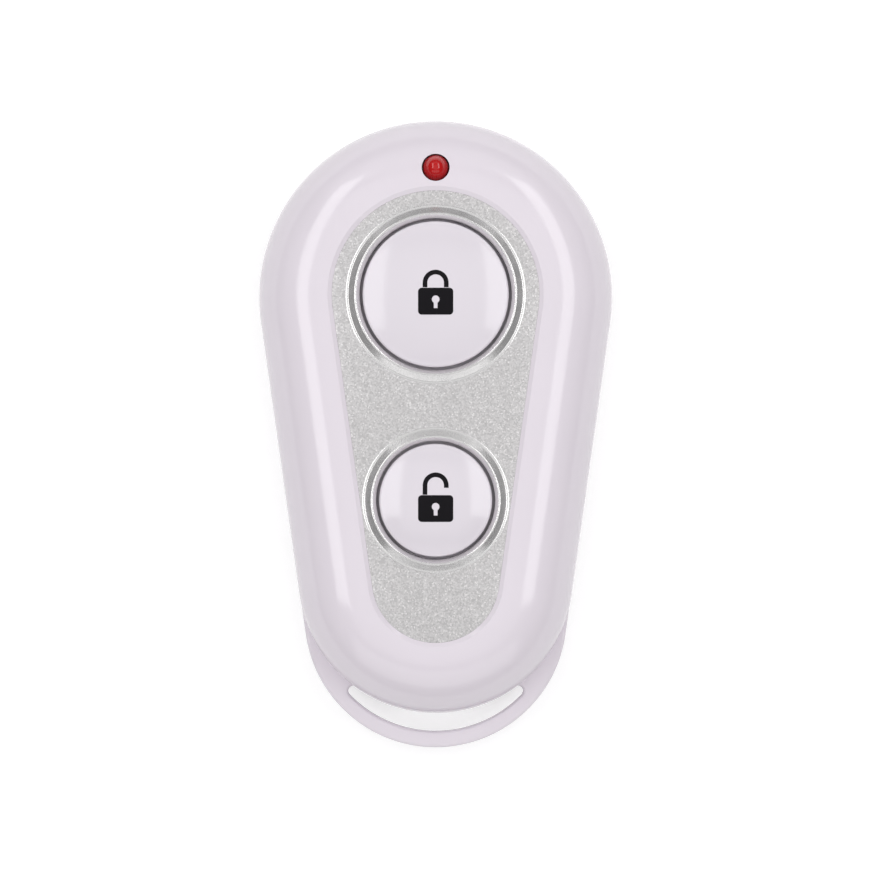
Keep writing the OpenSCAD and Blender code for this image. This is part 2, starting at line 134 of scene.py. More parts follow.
def moulded_sweep():
    """Tree that carries a profile round an outline: x stands out from the outline, z is the height.
    The outline is a head arc and a tail arc with tangent sides between, or one circle if both agree."""
    tree = bpy.data.node_groups.new("moulded_sweep", "GeometryNodeTree")
    given = open_sockets(
        tree,
        [
            ("Profile", "Geometry"),
            ("Head Radius", "Float"),
            ("Head Y", "Float"),
            ("Tail Radius", "Float"),
            ("Tail Y", "Float"),
            ("Centre X", "Float"),
            ("Taper", "Float"),
            ("Head Steps", "Int"),
            ("Tail Steps", "Int"),
            ("Finish", "Material"),
        ],
        [("Piece", "Geometry")],
    )
    rows = put(tree, "GeometryNodeAttributeDomainSize", {"Geometry": given["Profile"]}).outputs["Point Count"]
    around = maths(tree, "ADD", maths(tree, "ADD", given["Head Steps"], given["Tail Steps"]), 2)
    grid = put(
        tree,
        "GeometryNodeMeshGrid",
        {"Vertices X": maths(tree, "ADD", around, 1), "Vertices Y": rows},
    ).outputs["Mesh"]

    index = put(tree, "GeometryNodeInputIndex").outputs["Index"]
    column = maths(tree, "FLOOR", maths(tree, "DIVIDE", index, rows))
    row = maths(tree, "SUBTRACT", index, maths(tree, "MULTIPLY", column, rows))
    place = put(tree, "GeometryNodeInputPosition").outputs["Position"]
    sample = put(tree, "GeometryNodeSampleIndex", data_type="FLOAT_VECTOR")
    for key, value in (("Geometry", given["Profile"]), ("Value", place), ("Index", row)):
        feed(tree, sample.inputs[key], value)
    profile = put(tree, "ShaderNodeSeparateXYZ", {0: sample.outputs["Value"]}).outputs

    step = maths(tree, "FLOORED_MODULO", column, around)
    on_tail = maths(tree, "GREATER_THAN", step, given["Head Steps"])
    double_taper = maths(tree, "MULTIPLY", given["Taper"], 2)
    head_share = maths(tree, "DIVIDE", step, given["Head Steps"])
    head_turn = maths(tree, "MULTIPLY", head_share, maths(tree, "ADD", math.pi, double_taper))
    tail_step = maths(tree, "SUBTRACT", maths(tree, "SUBTRACT", step, given["Head Steps"]), 1)
    tail_share = maths(tree, "DIVIDE", tail_step, given["Tail Steps"])
    tail_turn = maths(tree, "MULTIPLY", tail_share, maths(tree, "SUBTRACT", math.pi, double_taper))

    def head_or_tail(on_head_arc, on_tail_arc):
        chosen = put(tree, "GeometryNodeSwitch", input_type="FLOAT")
        for key, value in (("Switch", on_tail), ("False", on_head_arc), ("True", on_tail_arc)):
            feed(tree, chosen.inputs[key], value)
        return chosen.outputs[0]

    angle = head_or_tail(
        maths(tree, "SUBTRACT", head_turn, given["Taper"]),
        maths(tree, "ADD", maths(tree, "ADD", tail_turn, given["Taper"]), math.pi),
    )
    radius = maths(tree, "ADD", head_or_tail(given["Head Radius"], given["Tail Radius"]), profile["X"])
    across = maths(tree, "MULTIPLY", radius, maths(tree, "COSINE", angle))
    along = maths(tree, "MULTIPLY", radius, maths(tree, "SINE", angle))
    point = put(
        tree,
        "ShaderNodeCombineXYZ",
        {
            "X": maths(tree, "ADD", across, given["Centre X"]),
            "Y": maths(tree, "ADD", along, head_or_tail(given["Head Y"], given["Tail Y"])),
            "Z": profile["Z"],
        },
    ).outputs[0]
    shaped = put(tree, "GeometryNodeSetPosition", {"Geometry": grid, "Position": point}).outputs[0]
    closed = put(tree, "GeometryNodeMergeByDistance", {"Geometry": shaped, "Distance": same_place}).outputs[0]
    real = put(tree, "GeometryNodeRealizeInstances", {"Geometry": closed}).outputs[0]
    named = put(tree, "GeometryNodeSetMaterial", {"Geometry": real, "Material": given["Finish"]}).outputs[0]
    feed(tree, put(tree, "NodeGroupOutput").inputs["Piece"], named)
    return tree


sweep_tree = moulded_sweep()


def plain_mesh(obj):
    """What an object's modifiers make of it, as a plain mesh; the object itself goes."""
    made = bpy.data.meshes.new_from_object(obj.evaluated_get(bpy.context.evaluated_depsgraph_get()))
    bpy.data.objects.remove(obj)
    return made


def sweep(profile, material, sizes):
    """Mesh of a profile of (out, up) points carried round an outline, with sizes for the sweep tree."""
    points = bpy.data.meshes.new("profile")
    points.from_pydata([(out * mm, 0, up * mm) for out, up in profile], [], [])
    carrier = bpy.data.objects.new("profile", points)
    bpy.context.scene.collection.objects.link(carrier)
    modifier = carrier.modifiers.new("sweep", "NODES")
    modifier.node_group = sweep_tree
    values = {**sizes, "Finish": material}
    for item in sweep_tree.interface.items_tree:
        if item.name in values:
            modifier[item.identifier] = values[item.name]
    return plain_mesh(carrier)


def case_sweep(profile, material):
    """Sweep round the case's teardrop outline."""
    sizes = {
        "Head Radius": head_r * mm,
        "Head Y": head_y * mm,
        "Tail Radius": cover_r * mm,
        "Tail Y": cover_y * mm,
        "Taper": taper_angle,
        "Head Steps": head_steps,
        "Tail Steps": tail_steps,
    }
    return sweep(profile, material, sizes)


def turned(profile, material, x, y, steps=round_steps):
    """Sweep round one upright axis, for a round piece."""
    centre = {"Centre X": x * mm, "Head Y": y * mm, "Tail Y": y * mm}
    return sweep(profile, material, {**centre, "Head Steps": steps, "Tail Steps": steps})


def quarter(from_point, to_point, steps, bulge):
    """Points of a quarter ellipse between two points; bulge names the axis that it leaves along."""
    points = []
    for i in range(steps + 1):
        a = math.pi / 2 * i / steps
        slow, fast = 1 - math.cos(a), math.sin(a)
        share = (slow, fast) if bulge == "up" else (fast, slow)
        points.append(tuple(p + (q - p) * s for p, q, s in zip(from_point, to_point, share)))
    return points


def close_flat(shape, height, facing):
    """Closes every open rim at one height with one flat face that keeps the holes, up (1) or down (-1)."""
    level = {v for v in shape.verts if abs(v.co.z - height * mm) < same_place}
    rims = [e for e in shape.edges if len(e.link_faces) < 2 and level.issuperset(e.verts)]
    filled = bmesh.ops.triangle_fill(shape, edges=rims, use_beauty=True, normal=(0, 0, facing))
    for face in filled["geom"]:
        if isinstance(face, bmesh.types.BMFace):
            face.normal_update()
            if face.normal.z * facing < 0:
                face.normal_flip()


def gather(finishes, *meshes):
    """One editable shape from several swept meshes, with rims that meet made one.
    A swept mesh keeps the empty slot of its grid, so its finish is the last of its materials."""
    shape = bmesh.new()
    for mesh in meshes:
        already = len(shape.faces)
        shape.from_mesh(mesh)
        shape.faces.ensure_lookup_table()
        for face in shape.faces[already:]:
            face.material_index = finishes.index(mesh.materials[-1])
        bpy.data.meshes.remove(mesh)
    bmesh.ops.remove_doubles(shape, verts=shape.verts, dist=same_place)
    return shape


def shown(name, shape, *materials):
    """Object made from an edited shape, which is used up."""
    mesh = bpy.data.meshes.new(name)
    shape.to_mesh(mesh)
    shape.free()
    for material in materials:
        mesh.materials.append(material)
    obj = bpy.data.objects.new(name, mesh)
    bpy.context.scene.collection.objects.link(obj)
    return obj


def worked(obj, tool, operation):
    """Joins a tool object to a piece, or cuts it away, and leaves the piece a plain mesh."""
    modifier = obj.modifiers.new("work", "BOOLEAN")
    modifier.operation = operation
    modifier.solver = "EXACT"
    modifier.object = tool
    name = obj.name
    obj.name = name + "_blank"
    mesh = plain_mesh(obj)
    bpy.data.objects.remove(tool)
    made = bpy.data.objects.new(name, mesh)
    bpy.context.scene.collection.objects.link(made)
    return made


def fitted(obj, body, slot, *nodes, crease=30):
    """Last step of a piece: smooth shading with crisp edges, then its body and CAD nodes; its slot is not
    used.
    """
    obj.data.shade_smooth()
    obj.data.set_sharp_from_angle(angle=math.radians(crease))
    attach(obj, body)
    if nodes:
        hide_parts(*nodes)
    return obj


def noise(tree, place, scale, detail):
    """Adds a noise texture and gives its value, which is about a half on average."""
    return put(tree, "ShaderNodeTexNoise", {"Vector": place, "Scale": scale, "Detail": detail}).outputs[0]


def drifting(tree, base, field, spread):
    """Gives a value that drifts about its base with a field that is about a half on average."""
    return maths(tree, "ADD", base, maths(tree, "MULTIPLY", maths(tree, "SUBTRACT", field, 0.5), spread))


def plastic_skin():
    """Group for moulded plastic: a slow drift of tone and gloss, and the fine relief of the mould's skin."""
    tree = bpy.data.node_groups.new("plastic_skin", "ShaderNodeTree")
    given = open_sockets(
        tree,
        [
            ("Color", "Color"),
            ("Roughness", "Float"),
            ("Tone Drift", "Float"),
            ("Gloss Drift", "Float"),
            ("Skin Size", "Float"),
        ],
        [("Color", "Color"), ("Roughness", "Float"), ("Height", "Float")],
    )
    place = put(tree, "ShaderNodeTexCoord").outputs["Object"]
    tone = drifting(tree, 1, noise(tree, place, tone_scale, 3), given["Tone Drift"])
    shade = put(tree, "ShaderNodeHueSaturation", {"Color": given["Color"], "Value": tone}).outputs[0]
    gloss = drifting(tree, given["Roughness"], noise(tree, place, gloss_scale, 5), given["Gloss Drift"])
    grain = noise(tree, place, maths(tree, "DIVIDE", 1, given["Skin Size"]), 4)
    put(tree, "NodeGroupOutput", {"Color": shade, "Roughness": gloss, "Height": grain})
    return tree


def skinned(name, skin, values, relief, **plain):
    """Material with colour, gloss and relief (its depth in mm) from a group, and plain shader values.
    A group that tilts the surface gives its normal too."""
    material = bpy.data.materials.new(name)
    material.use_nodes = True
    tree = material.node_tree
    shader = tree.nodes["Principled BSDF"]
    group = put(tree, "ShaderNodeGroup", node_tree=skin)
    for key, value in values.items():
        group.inputs[key].default_value = value
    bump = put(tree, "ShaderNodeBump", {"Height": group.outputs["Height"], "Distance": relief * mm})
    if "Normal" in group.outputs:
        feed(tree, bump.inputs["Normal"], group.outputs["Normal"])
    feed(tree, shader.inputs["Base Color"], group.outputs["Color"])
    feed(tree, shader.inputs["Roughness"], group.outputs["Roughness"])
    feed(tree, shader.inputs["Normal"], bump.outputs["Normal"])
    for key, value in plain.items():
        shader.inputs[key.replace("_", " ")].default_value = value
    return material


moulded = plastic_skin()
white_case = skinned(
    "white_case",
    moulded,
    {
        "Color": (0.778, 0.722, 0.784, 1),
        "Roughness": 0.13,
        "Tone Drift": 0.03,
        "Gloss Drift": 0.06,
        "Skin Size": 0.9 * mm,
    },
    relief=0.002,
    IOR=1.5,
)


def arc(centre, radius, start, end, steps):
    """Points on an arc round a centre, both ends included."""
    angles = [start + (end - start) * i / steps for i in range(steps + 1)]
    return [(centre[0] + radius * math.cos(a), centre[1] + radius * math.sin(a)) for a in angles]


def half_width(y, inset):
    """Half of the case's width at a place on its straight sides."""
    return (head_r - (head_y - y) * taper - inset) / math.cos(taper_angle)


def bail_outline(inset):
    """Outline of the bail: its outer edge, its roots in the tray's wall and the lanyard slot's edge."""
    to_cover, to_slot = cover_r + slot_end_r, slot_r - slot_end_r
    end_y = ((to_slot**2 - to_cover**2) / (cover_y - slot_y) + cover_y + slot_y) / 2
    end_x = math.sqrt(to_slot**2 - (end_y - slot_y) ** 2)
    root_r = cover_r - bail_weld
    from_cover = math.atan2(end_y - cover_y, end_x)
    from_slot = math.atan2(end_y - slot_y, end_x)
    root_start = math.asin((bail_start - cover_y) / root_r)
    half = arc((0, bail_y), bail_r - inset, -math.pi / 2, -taper_angle, 30)
    half.append((half_width(bail_start, inset), bail_start))
    half += arc((0, cover_y), root_r, root_start, from_cover, 16)
    half += arc((end_x, end_y), slot_end_r + inset, from_cover + math.pi, from_slot, 14)
    half += arc((0, slot_y), slot_r + inset, from_slot, -math.pi / 2, 30)[1:]
    return half + [(-x, y) for x, y in reversed(half[1:-1])]


def lofted(rings):
    """Shape through rings of points at rising heights, each given as (points, height), with flat ends."""
    shape = bmesh.new()
    loops = [[shape.verts.new((x * mm, y * mm, z * mm)) for x, y in points] for points, z in rings]
    for low, high in zip(loops, loops[1:]):
        for i in range(len(low)):
            j = (i + 1) % len(low)
            shape.faces.new((low[i], low[j], high[j], high[i]))
    close_flat(shape, rings[0][1], -1)
    close_flat(shape, rings[-1][1], 1)
    return shape


tail_post_x = half_width(tail_post_y, post_inset)
post_spots = [
    (head_post_reach * math.cos(a), head_y + head_post_reach * math.sin(a), False)
    for a in (head_post_angle, math.pi - head_post_angle)
] + [(side * tail_post_x, tail_post_y, True) for side in (-1, 1)]

tray_profile = quarter((-rear_edge_width, 0), (0, rear_edge_height), 14, "out")
tray_profile += quarter((0, parting - seam_round), (-seam_round, parting), 4, "up")
tray_profile += [
    (-tongue_inset, parting),
    (-tongue_inset, tongue_top),
    (-wall, tongue_top),
    (-wall, wall),
]
screw_post_profile = [
    (screw_post_r, wall),
    (screw_post_r, parting),
    (screw_hole_r, parting),
    (screw_hole_r, screw_seat),
    (counterbore_r, screw_seat),
    (counterbore_r, 0),
]
post_profile = [(post_r, wall), (post_r, board_under), (0, board_under)]
pinned_profile = [(post_r, wall), (post_r, board_under), (pin_r, board_under), (pin_r, pin_top), (0, pin_top)]
tray = gather(
    [white_case],
    case_sweep(tray_profile, white_case),
    turned(screw_post_profile, white_case, 0, screw_y),
    *[
        turned(pinned_profile if pinned else post_profile, white_case, x, y, post_steps)
        for x, y, pinned in post_spots
    ],
)
close_flat(tray, 0, -1)
close_flat(tray, wall, 1)

bail_edge = quarter((bail_foot_width, bail_low), (0, bail_low + bail_foot_height), 8, "out")
bail_edge += quarter((0, bail_high - bail_round), (bail_round, bail_high), 5, "up")
bail = lofted([(bail_outline(inset), z) for inset, z in bail_edge])
rear_cover = worked(shown("rear_cover_shell", tray, white_case), shown("bail", bail, white_case), "UNION")
fitted(rear_cover, "case", "white_case", "rear_cover")


# Coin cell and its contacts: a lithium cell pressed from stainless steel round a dark powder core, sealed
# with a plastic ring. A springy steel strap clips round it, and a gold-flashed pad takes its cap.

plate_tone_scale = 260
rub_squeeze = (1, 9, 9)


def metal_skin():
    """Group for bare and plated metal: fine rubbed lines, and a slow drift of tone and gloss."""
    tree = bpy.data.node_groups.new("metal_skin", "ShaderNodeTree")
    given = open_sockets(
        tree,
        [
            ("Color", "Color"),
            ("Roughness", "Float"),
            ("Tone Drift", "Float"),
            ("Gloss Drift", "Float"),
            ("Line Size", "Float"),
        ],
        [("Color", "Color"), ("Roughness", "Float"), ("Height", "Float")],
    )
    place = put(tree, "ShaderNodeTexCoord").outputs["Object"]
    drawn_out = put(tree, "ShaderNodeMapping", {"Vector": place, "Scale": rub_squeeze}).outputs[0]
    lines = noise(tree, drawn_out, maths(tree, "DIVIDE", 1, given["Line Size"]), 4)
    tone = drifting(tree, 1, noise(tree, place, plate_tone_scale, 3), given["Tone Drift"])
    shade = put(tree, "ShaderNodeHueSaturation", {"Color": given["Color"], "Value": tone}).outputs[0]
    gloss = drifting(tree, given["Roughness"], lines, given["Gloss Drift"])
    put(tree, "NodeGroupOutput", {"Color": shade, "Roughness": gloss, "Height": lines})
    return tree


def metal(name, color, roughness, line_size, relief):
    """Metal finish with rubbed lines of one size and depth."""
    drift = {"Tone Drift": 0.12, "Gloss Drift": 0.15}
    values = {"Color": (*color, 1), "Roughness": roughness, "Line Size": line_size * mm}
    return skinned(name, rubbed, {**values, **drift}, relief, Metallic=1.0)


def plastic(name, color, roughness, skin_size, relief, ior=1.5):
    """Plainer plastic finish for the pieces inside."""
    drift = {"Tone Drift": 0.1, "Gloss Drift": 0.12}
    values = {"Color": (*color, 1), "Roughness": roughness, "Skin Size": skin_size * mm}
    return skinned(name, moulded, {**values, **drift}, relief, IOR=ior)


def dress(material, *names):
    """Gives CAD nodes a finish."""
    for name in names:
        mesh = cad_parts[name].data
        mesh.materials.clear()
        mesh.materials.append(material)


rubbed = metal_skin()
spring_steel = metal("spring_steel", (0.56, 0.56, 0.57), 0.28, 1.2, 0.004)
gold_flash = metal("gold_flash", (0.78, 0.55, 0.2), 0.3, 0.8, 0.004)
seal_plastic = plastic("seal_plastic", (0.6, 0.6, 0.57), 0.45, 0.3, 0.004)
pressed_powder = plastic("pressed_powder", (0.05, 0.05, 0.052), 0.8, 0.15, 0.02)
dress(spring_steel, "battery_can", "battery_cap", "battery_clip")
dress(gold_flash, "battery_contact")
dress(seal_plastic, "battery_gasket")
dress(pressed_powder, "battery_core")


# Circuit board and its parts: a glass-fibre board under green lacquer with a printed loop aerial, and the
# code chip, radio parts and small chips soldered on it by tinned legs.

green_lacquer = plastic("green_lacquer", (0.015, 0.17, 0.07), 0.3, 0.35, 0.006)
bright_tin = metal("bright_tin", (0.76, 0.75, 0.73), 0.22, 0.5, 0.003)
chip_black = plastic("chip_black", (0.022, 0.022, 0.024), 0.55, 0.12, 0.008)
fired_clay = plastic("fired_clay", (0.45, 0.32, 0.19), 0.6, 0.1, 0.008)
dress(green_lacquer, "circuit_board")
dress(gold_flash, "antenna_loop")
dress(bright_tin, "saw_resonator", "encoder_leads", "transistor_leads", "led_leads")
dress(chip_black, "encoder_chip", "rf_transistor", "chip_resistors")
dress(fired_clay, "chip_capacitors")


# Push switches: a black moulded base and plunger under a pressed steel cover, with four tinned legs soldered
# to the board. Under each plunger lies a snap dome, a thin cap of spring steel that gives way to the press.

arm_y = head_y
clear_y = -7.1
dome_r = 2.1
dome_floor = 7.7
dome_rise = 0.55
dome_thickness = 0.1
dome_steps = 10


def snap_dome(button, y):
    """Thin cap of a sphere, turned from its inner face out to its foot and back up over its outer face."""
    outer = (dome_r**2 + dome_rise**2) / (2 * dome_rise)
    inner = outer - dome_thickness
    middle = dome_floor + dome_rise - outer
    foot = math.sqrt(inner**2 - (outer - dome_rise) ** 2)
    shares = [i / dome_steps for i in range(dome_steps + 1)]
    profile = [(foot * s, middle + math.sqrt(inner**2 - (foot * s) ** 2)) for s in shares]
    profile += [(dome_r * s, middle + math.sqrt(outer**2 - (dome_r * s) ** 2)) for s in reversed(shares)]
    shape = gather([spring_steel], turned(profile, spring_steel, 0, y))
    dome = shown(button + "_snap_dome", shape, spring_steel)
    fitted(dome, "case", "spring_steel", button + "_switch_dome")
    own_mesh(dome)


for button in ("arm", "clear"):
    dress(chip_black, button + "_switch_base", button + "_switch_plunger")
    dress(spring_steel, button + "_switch_cover")
    dress(bright_tin, button + "_switch_terminals")
snap_dome("arm", arm_y)
snap_dome("clear", clear_y)


# Lamp: a 3 mm light-emitting diode, cast in clear red epoxy with a flange at its foot and a round end.
# It stands on the board by its two wires and looks out of the front cover.

lamp_y = 29.1
lamp_r = 1.5
lamp_foot = 7.99
lamp_top = 13.3
lamp_dome = 2.4
lamp_flange_r = 1.9
lamp_flange_top = 8.98
lamp_round_steps = 24
# The lamp's red fades from its core to a darker rim: painted shade.
lamp_unshaded_share = 0.3
lamp_core = (0.49, 0.002, 0.003, 1)
lamp_rim_painted_shade = (0.43, 0.002, 0.004, 1)


def vectors(tree, operation, first, second=(0, 0, 0)):
    """Adds a vector math node and gives its results."""
    return put(tree, "ShaderNodeVectorMath", {0: first, 1: second}, operation=operation).outputs


def red_epoxy():
    """Cast red epoxy with painted shade: its colour darkens towards the lamp's rim."""
    material = skinned(
        "red_epoxy",
        moulded,
        {"Roughness": 0.04, "Tone Drift": 0.1, "Gloss Drift": 0.02, "Skin Size": 0.6 * mm},
        relief=0.0006,
        IOR=1.5,
    )
    tree = material.node_tree
    group = next(n for n in tree.nodes if n.type == "GROUP")
    place = put(tree, "ShaderNodeTexCoord").outputs["Object"]
    centred = vectors(tree, "SUBTRACT", place, (0, lamp_y * mm, 0))["Vector"]
    flat = vectors(tree, "MULTIPLY", centred, (1, 1, 0))["Vector"]
    reach = vectors(tree, "LENGTH", flat)["Value"]
    # Painted shade: the red darkens from the core out to the rim.
    span = {"From Min": lamp_unshaded_share * lamp_r * mm, "From Max": lamp_r * mm}
    share = put(tree, "ShaderNodeMapRange", {"Value": reach, **span}).outputs[0]
    colours = {0: share, 6: lamp_core, 7: lamp_rim_painted_shade}
    feed(tree, group.inputs["Color"], put(tree, "ShaderNodeMix", colours, data_type="RGBA").outputs[2])
    return material


lamp_red = red_epoxy()
lamp_profile = [(0, lamp_foot), (lamp_flange_r, lamp_foot), (lamp_flange_r, lamp_flange_top)]
lamp_profile += [(lamp_r, lamp_flange_top)]
lamp_profile += quarter((lamp_r, lamp_top - lamp_dome), (0, lamp_top), lamp_round_steps, "up")
lamp_body = shown("led_lens_body", gather([lamp_red], turned(lamp_profile, lamp_red, 0, lamp_y)), lamp_red)
fitted(lamp_body, "case", "red_lamp", "led_lens")


# Front cover: the glossy white dome that carries the panel, moulded like the tray and closed on its tongue.
# Its rounded shoulder runs into a sloped rim round the panel's recess. It has holes for the buttons and
# the lamp, ribs that keep the buttons from turning, and pegs and a screw boss inside.

shoulder_width = 7.8
cover_top = 12.7
rim_land = 0.15
recess_inset = 8.4
recess_floor = 11.6
panel_top = 12.4
deck_under = 10.4
rebate_inset = 0.75
rebate_top = 6.6
arm_hole_r = 8.28
clear_hole_r = 6.48
lamp_hole_r = 1.52
lamp_drill_low = 7.0
lamp_drill_high = 13.5
peg_low = 6.7
peg_high = 10.7
boss_r = 2.4
boss_high = 10.8
pilot_r = 0.85
pilot_end = 9.0
rib_low = 9.35
rib_width = 1.0
rib_length = 6.0
arm_rib_x = 8.58
clear_rib_x = 6.78
hole_steps = 64
drill_steps = 40
boss_steps = 24
cavity_steps = 14
shoulder_steps = 34


def cavity_point(a):
    """Point of the front cover's inner side, a quarter ellipse, at an angle."""
    return (
        -wall - (recess_inset - wall) * (1 - math.cos(a)),
        parting + (deck_under - parting) * math.sin(a),
    )


def hanging_rib(shape, x, y):
    """Block under the deck, open at its top, where the deck's flat underside takes it in."""
    corners = [(x, y - rib_length / 2), (x + rib_width, y - rib_length / 2)]
    corners += [(px, y + rib_length / 2) for px, _ in reversed(corners)]
    low = [shape.verts.new((px * mm, py * mm, rib_low * mm)) for px, py in corners]
    high = [shape.verts.new((px * mm, py * mm, deck_under * mm)) for px, py in corners]
    shape.faces.new(reversed(low))
    for i in range(4):
        j = (i + 1) % 4
        shape.faces.new((low[i], low[j], high[j], high[i]))


cavity_start = math.asin((rebate_top - parting) / (deck_under - parting))
cavity_turn = (math.pi / 2 - cavity_start) / cavity_steps
front_profile = [cavity_point(math.pi / 2 - cavity_turn * i) for i in range(cavity_steps + 1)]
front_profile += [(-rebate_inset, rebate_top), (-rebate_inset, parting)]
front_profile += quarter((-seam_round, parting), (0, parting + seam_round), 4, "out")
front_profile += quarter((0, parting), (-shoulder_width, cover_top), shoulder_steps, "up")[2:]
front_profile += [
    (-shoulder_width - rim_land, cover_top),
    (-recess_inset, panel_top),
    (-recess_inset, recess_floor),
]
front = gather(
    [white_case],
    case_sweep(front_profile, white_case),
    turned([(arm_hole_r, recess_floor), (arm_hole_r, deck_under)], white_case, 0, arm_y, hole_steps),
    turned([(clear_hole_r, recess_floor), (clear_hole_r, deck_under)], white_case, 0, clear_y, hole_steps),
)
for rib_x, rib_y in ((arm_rib_x, arm_y), (clear_rib_x, clear_y)):
    hanging_rib(front, rib_x, rib_y)
    hanging_rib(front, -rib_x - rib_width, rib_y)
close_flat(front, recess_floor, 1)
close_flat(front, deck_under, -1)

boss_profile = [
    (0, pilot_end),
    (pilot_r, pilot_end),
    (pilot_r, parting),
    (boss_r, parting),
    (boss_r, boss_high),
    (0, boss_high),
]
peg_profile = [(0, peg_low), (post_r, peg_low), (post_r, peg_high), (0, peg_high)]
drill_profile = [(0, lamp_drill_low), (lamp_hole_r, lamp_drill_low)]
drill_profile += [(r, lamp_drill_high) for r, _ in reversed(drill_profile)]
inner_posts = gather(
    [white_case],
    turned(boss_profile, white_case, 0, screw_y, boss_steps),
    *[turned(peg_profile, white_case, x, y, post_steps) for x, y, pinned in post_spots if not pinned],
)
lamp_drill = gather([white_case], turned(drill_profile, white_case, 0, lamp_y, drill_steps))
front_cover = shown("front_cover_shell", front, white_case)
front_cover = worked(front_cover, shown("inner_posts", inner_posts, white_case), "UNION")
front_cover = worked(front_cover, shown("lamp_drill", lamp_drill, white_case), "DIFFERENCE")
fitted(front_cover, "case", "white_case", "front_cover")


# Silver panel: a thin moulded inlay sprayed with silver flake paint, dropped into the front cover's recess.
# A smooth raised ring stands round each button's hole, and its outer side slopes down to a fine bead.

panel_inset = 8.41
panel_edge = 0.02
ring_crest = 0.46
ring_half = 0.13
ring_wall_top = 0.42
ring_height = 0.5
ring_foot = 1.19
ring_steps = 96
crest_steps = 9
bead_start = 1.22
bead_end = 1.48
bead_height = 0.028
bead_steps = 8
paint_relief = 0.003
paint_cloud_scale = 900
paint_gloss_drift = 0.15
bright_lift = 0.15


def flake_paint():
    """Group for silver paint: small flakes that differ in tone and tilt, with a few bright ones, under the
    slight orange peel of a sprayed coat."""
    tree = bpy.data.node_groups.new("flake_paint", "ShaderNodeTree")
    given = open_sockets(
        tree,
        [
            ("Color", "Color"),
            ("Roughness", "Float"),
            ("Flake Size", "Float"),
            ("Tone Spread", "Float"),
            ("Tilt", "Float"),
            ("Bright Share", "Float"),
        ],
        [("Color", "Color"), ("Roughness", "Float"), ("Normal", "Vector"), ("Height", "Float")],
    )
    place = put(tree, "ShaderNodeTexCoord").outputs["Object"]
    fineness = maths(tree, "DIVIDE", 1, given["Flake Size"])
    flakes = put(tree, "ShaderNodeTexVoronoi", {"Vector": place, "Scale": fineness}).outputs["Color"]
    chance = put(tree, "ShaderNodeSeparateXYZ", {0: flakes}).outputs["Z"]
    bright = maths(tree, "GREATER_THAN", chance, maths(tree, "SUBTRACT", 1, given["Bright Share"]))
    tone = drifting(tree, 1, chance, given["Tone Spread"])
    lifted = maths(tree, "ADD", tone, maths(tree, "MULTIPLY", bright, bright_lift))
    shade = put(tree, "ShaderNodeHueSaturation", {"Color": given["Color"], "Value": lifted}).outputs[0]
    peel = noise(tree, place, paint_cloud_scale, 3)
    gloss = drifting(tree, given["Roughness"], peel, paint_gloss_drift)
    lean = vectors(tree, "SUBTRACT", flakes, (0.5, 0.5, 0.5))["Vector"]
    tilt = put(tree, "ShaderNodeVectorMath", {0: lean, "Scale": given["Tilt"]}, operation="SCALE").outputs[0]
    facing = put(tree, "ShaderNodeNewGeometry").outputs["Normal"]
    tilted = vectors(tree, "NORMALIZE", vectors(tree, "ADD", facing, tilt)["Vector"])["Vector"]
    put(tree, "NodeGroupOutput", {"Color": shade, "Roughness": gloss, "Normal": tilted, "Height": peel})
    return tree


silver_flakes = flake_paint()
silver_field = skinned(
    "silver_field",
    silver_flakes,
    {
        "Color": (0.608, 0.595, 0.598, 1),
        "Roughness": 0.42,
        "Flake Size": 0.15 * mm,
        "Tone Spread": 0.36,
        "Tilt": 0.16,
        "Bright Share": 0.06,
    },
    relief=paint_relief,
    Metallic=0.5,
)
silver_ring = skinned(
    "silver_ring",
    silver_flakes,
    {
        "Color": (0.8, 0.79, 0.79, 1),
        "Roughness": 0.25,
        "Flake Size": 0.1 * mm,
        "Tone Spread": 0.04,
        "Tilt": 0.02,
        "Bright Share": 0.0,
    },
    relief=paint_relief,
    Metallic=0.9,
)


def button_ring(hole_r, y):
    """Bead, ring and wall of a button's hole, from the panel's face in."""
    crest = (ring_crest, panel_top + ring_height)
    outwards = [(0, recess_floor), (0, panel_top)]
    outwards += quarter((ring_crest - ring_half, panel_top + ring_wall_top), crest, crest_steps, "up")
    outwards += quarter(crest, (ring_crest + ring_half, panel_top + ring_wall_top), crest_steps, "out")[1:]
    outwards += [(ring_foot, panel_top)]
    for i in range(bead_steps + 1):
        share = i / bead_steps
        swell = bead_height * math.sin(math.pi * share)
        outwards.append((bead_start + (bead_end - bead_start) * share, panel_top + swell))
    return turned([(hole_r + out, up) for out, up in reversed(outwards)], silver_ring, 0, y, ring_steps)


plate_side = (-panel_inset, panel_top - panel_edge)
plate_profile = [(-panel_inset, recess_floor)]
plate_profile += quarter(plate_side, (-panel_inset - panel_edge, panel_top), 3, "up")
panel = gather(
    [silver_field, silver_ring],
    case_sweep(plate_profile, silver_field),
    button_ring(arm_hole_r, arm_y),
    button_ring(clear_hole_r, clear_y),
)
close_flat(panel, panel_top, 1)
close_flat(panel, recess_floor, -1)
inlay = shown("silver_panel_inlay", panel, silver_field, silver_ring)
fitted(inlay, "case", "silver_panel", "silver_panel", crease=15)


# Buttons: hollow domed caps in polished white plastic, each with a flange that keeps it in the case, flats
# that keep it from turning and a stem that presses its switch. A padlock is printed on each in dark ink.

